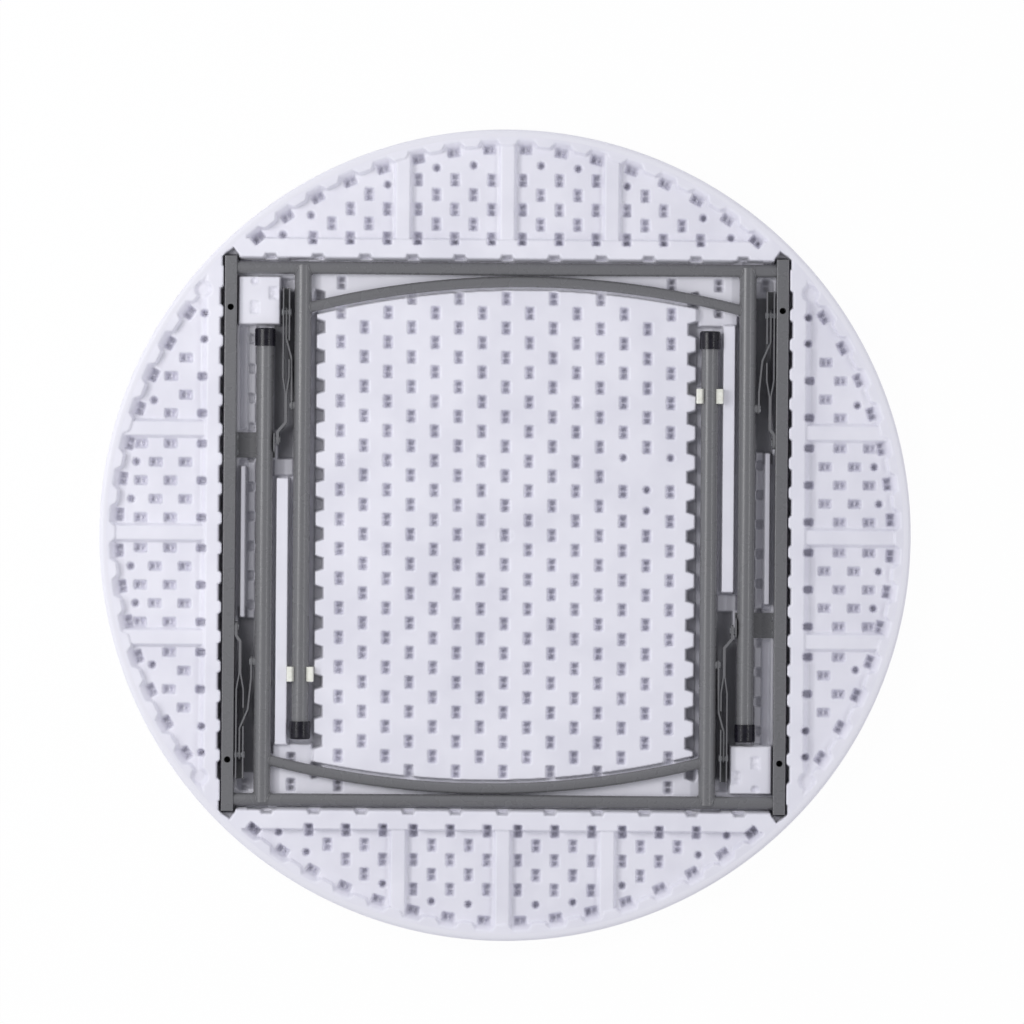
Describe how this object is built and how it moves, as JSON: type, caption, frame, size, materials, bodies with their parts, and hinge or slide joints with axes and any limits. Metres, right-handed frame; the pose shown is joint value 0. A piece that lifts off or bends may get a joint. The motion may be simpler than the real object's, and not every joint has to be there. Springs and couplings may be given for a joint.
{
  "type": "round folding table",
  "caption": "Round blow-moulded folding table lying face down, with tubular steel leg frames folded flat into its underside on hinged stays.",
  "frame": {"origin": "middle of the flat play face, which lies on the ground plane", "axes": "+Z from the play face to the underside, +Y towards the far leg frame's hinge tube, +X towards the right rail, as the picture looks down on the underside"},
  "size_m": [1.2189, 1.219, 0.044],
  "materials": {
    "white_hdpe": "satin",
    "grey_powder_coat": "satin",
    "black_cap": "satin",
    "cream_clip": "satin",
    "zinc_fastener": "satin"
  },
  "bodies": {
    "root": {"tabletop": "white_hdpe", "rail_left": "grey_powder_coat", "rail_right": "grey_powder_coat", "rail_screws": "zinc_fastener", "strap_left": "grey_powder_coat", "strap_right": "grey_powder_coat", "strap_rivets": "zinc_fastener", "fork_pivots": "zinc_fastener", "clip_far": "cream_clip", "clip_near": "cream_clip", "clip_screws": "zinc_fastener"},
    "far_leg": {"far_hinge_tube": "grey_powder_coat", "far_brace": "grey_powder_coat", "far_post_left": "grey_powder_coat", "far_post_right": "grey_powder_coat", "far_cap_left": "black_cap", "far_cap_right": "black_cap", "far_boss_left": "grey_powder_coat", "far_boss_right": "grey_powder_coat"},
    "far_left_fork": {"far_left_fork": "grey_powder_coat", "far_left_knee_rivet": "zinc_fastener"},
    "far_left_link": {"far_left_link": "grey_powder_coat", "far_left_leg_rivet": "zinc_fastener"},
    "far_right_fork": {"far_right_fork": "grey_powder_coat", "far_right_knee_rivet": "zinc_fastener"},
    "far_right_link": {"far_right_link": "grey_powder_coat", "far_right_leg_rivet": "zinc_fastener"},
    "near_leg": {"near_hinge_tube": "grey_powder_coat", "near_brace": "grey_powder_coat", "near_post_left": "grey_powder_coat", "near_post_right": "grey_powder_coat", "near_cap_left": "black_cap", "near_cap_right": "black_cap", "near_boss_left": "grey_powder_coat", "near_boss_right": "grey_powder_coat"},
    "near_left_fork": {"near_left_fork": "grey_powder_coat", "near_left_knee_rivet": "zinc_fastener"},
    "near_left_link": {"near_left_link": "grey_powder_coat", "near_left_leg_rivet": "zinc_fastener"},
    "near_right_fork": {"near_right_fork": "grey_powder_coat", "near_right_knee_rivet": "zinc_fastener"},
    "near_right_link": {"near_right_link": "grey_powder_coat", "near_right_leg_rivet": "zinc_fastener"}
  },
  "joints": [
    {"name": "far_leg_fold", "type": "hinge", "parent": "root", "child": "far_leg", "pos_m": [0, 0.4, 0.028], "axis": [-1, 0, 0], "range_deg": [0, 90], "deforming": ["clip_far"]},
    {"name": "far_left_fork_pivot", "type": "hinge", "parent": "root", "child": "far_left_fork", "pos_m": [-0.3063, 0.142, 0.028], "axis": [1, 0, 0], "range_deg": [0, 38.74]},
    {"name": "far_left_link_knee", "type": "hinge", "parent": "far_left_fork", "child": "far_left_link", "pos_m": [-0.3063, 0.33289, 0.028], "axis": [-1, 0, 0], "range_deg": [0, 180]},
    {"name": "far_right_fork_pivot", "type": "hinge", "parent": "root", "child": "far_right_fork", "pos_m": [0.3627, 0.142, 0.028], "axis": [1, 0, 0], "range_deg": [0, 38.74]},
    {"name": "far_right_link_knee", "type": "hinge", "parent": "far_right_fork", "child": "far_right_link", "pos_m": [0.3627, 0.33289, 0.028], "axis": [-1, 0, 0], "range_deg": [0, 180]},
    {"name": "near_leg_fold", "type": "hinge", "parent": "root", "child": "near_leg", "pos_m": [0, -0.4, 0.028], "axis": [1, 0, 0], "range_deg": [0, 90], "deforming": ["clip_near"]},
    {"name": "near_left_fork_pivot", "type": "hinge", "parent": "root", "child": "near_left_fork", "pos_m": [-0.3627, -0.142, 0.028], "axis": [-1, 0, 0], "range_deg": [0, 38.74]},
    {"name": "near_left_link_knee", "type": "hinge", "parent": "near_left_fork", "child": "near_left_link", "pos_m": [-0.3627, -0.33289, 0.028], "axis": [1, 0, 0], "range_deg": [0, 180]},
    {"name": "near_right_fork_pivot", "type": "hinge", "parent": "root", "child": "near_right_fork", "pos_m": [0.3063, -0.142, 0.028], "axis": [-1, 0, 0], "range_deg": [0, 38.74]},
    {"name": "near_right_link_knee", "type": "hinge", "parent": "near_right_fork", "child": "near_right_link", "pos_m": [0.3063, -0.33289, 0.028], "axis": [1, 0, 0], "range_deg": [0, 180]}
  ],
  "couplings": [
    {"joint": "far_left_fork_pivot", "follows": "far_leg_fold", "ratio": 0.43045},
    {"joint": "far_left_link_knee", "follows": "far_leg_fold", "ratio": 2},
    {"joint": "far_right_fork_pivot", "follows": "far_leg_fold", "ratio": 0.43045},
    {"joint": "far_right_link_knee", "follows": "far_leg_fold", "ratio": 2},
    {"joint": "near_left_fork_pivot", "follows": "near_leg_fold", "ratio": 0.43045},
    {"joint": "near_left_link_knee", "follows": "near_leg_fold", "ratio": 2},
    {"joint": "near_right_fork_pivot", "follows": "near_leg_fold", "ratio": 0.43045},
    {"joint": "near_right_link_knee", "follows": "near_leg_fold", "ratio": 2}
  ]
}
